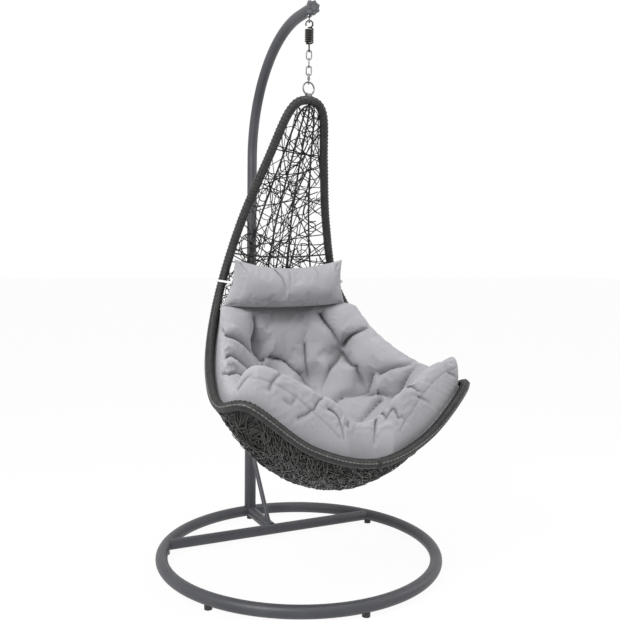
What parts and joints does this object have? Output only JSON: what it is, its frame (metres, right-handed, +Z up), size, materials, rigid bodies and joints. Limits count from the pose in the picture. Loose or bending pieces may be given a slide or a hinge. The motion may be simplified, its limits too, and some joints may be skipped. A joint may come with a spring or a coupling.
{
  "type": "hanging egg chair",
  "caption": "Ring base with a bent arm that carries a wicker basket seat on a spring and short chain, with a tufted cushion and a head pillow.",
  "frame": {"origin": "centre of the base ring, on the floor", "axes": "+Z up, the seat faces -Y and the post stands at +Y, +X to the right of someone facing along +Y"},
  "size_m": [1.0119, 1.014, 1.9496],
  "materials": {
    "stand_paint": "satin",
    "black_plastic": "matte",
    "grey_plastic": "satin",
    "zinc": "satin",
    "black_steel": "gloss",
    "wicker": "satin",
    "cushion_cloth": "matte",
    "white_elastic": "matte"
  },
  "bodies": {
    "stand": {"base_ring": "stand_paint", "cross_bar": "stand_paint", "base_stub": "stand_paint", "ring_feet": "black_plastic", "lower_post": "stand_paint", "post_bush": "black_plastic", "upper_arm": "stand_paint", "post_screws": "zinc", "brace": "stand_paint", "arm_end_cap": "grey_plastic", "bolt_washers": "zinc"},
    "swivel": {"eye_bolt": "black_steel", "bolt_cap_nut": "zinc"},
    "spring": {"spring": "black_steel"},
    "link_1": {"chain_link_1": "zinc"},
    "link_2": {"chain_link_2": "zinc"},
    "link_3": {"chain_link_3": "zinc"},
    "joining_link": {"quick_link": "zinc", "quick_link_nut": "zinc"},
    "ring": {"hanging_ring": "zinc"},
    "basket": {"ring_bracket": "zinc", "rim_frame": "black_steel", "rim_wrap": "wicker", "back_ribs": "black_steel", "cross_rods": "black_steel", "back_net": "wicker", "bowl_weave": "wicker", "seat_cushion": "cushion_cloth", "head_pillow": "cushion_cloth", "tie_left": "white_elastic", "tie_right": "white_elastic"}
  },
  "joints": [
    {"name": "hanger_turn", "type": "hinge", "parent": "stand", "child": "swivel", "pos_m": [0, -0.036, 1.915], "axis": [0, 0, 1], "range_deg": [-30, 30]},
    {"name": "spring_swing", "type": "hinge", "parent": "swivel", "child": "spring", "pos_m": [0, -0.036, 1.8744], "axis": [0.4226, 0.9063, 0], "range_deg": [-4, 4]},
    {"name": "spring_stretch", "type": "slide", "parent": "spring", "child": "link_1", "axis": [0, 0, -1], "range_m": [0, 0.025], "stiffness_N_per_m": 40000, "springref_m": -0.0068, "deforming": ["spring"]},
    {"name": "link_2_swing", "type": "hinge", "parent": "link_1", "child": "link_2", "pos_m": [0, -0.036, 1.75005], "axis": [0.9063, -0.4226, 0], "range_deg": [-10, 4]},
    {"name": "link_3_swing", "type": "hinge", "parent": "link_2", "child": "link_3", "pos_m": [0, -0.036, 1.72385], "axis": [0.4226, 0.9063, 0], "range_deg": [-3, 3]},
    {"name": "quick_link_swing", "type": "hinge", "parent": "link_3", "child": "joining_link", "pos_m": [0, -0.036, 1.69765], "axis": [0.9063, -0.4226, 0], "range_deg": [-8, 2]},
    {"name": "ring_swing", "type": "hinge", "parent": "joining_link", "child": "ring", "pos_m": [0, -0.036, 1.6697], "axis": [0.4226, 0.9063, 0], "range_deg": [-2, 2]},
    {"name": "basket_nod", "type": "hinge", "parent": "ring", "child": "basket", "pos_m": [0, -0.036, 1.63275], "axis": [0.9962, 0.0872, 0], "range_deg": [-6, 2]}
  ]
}
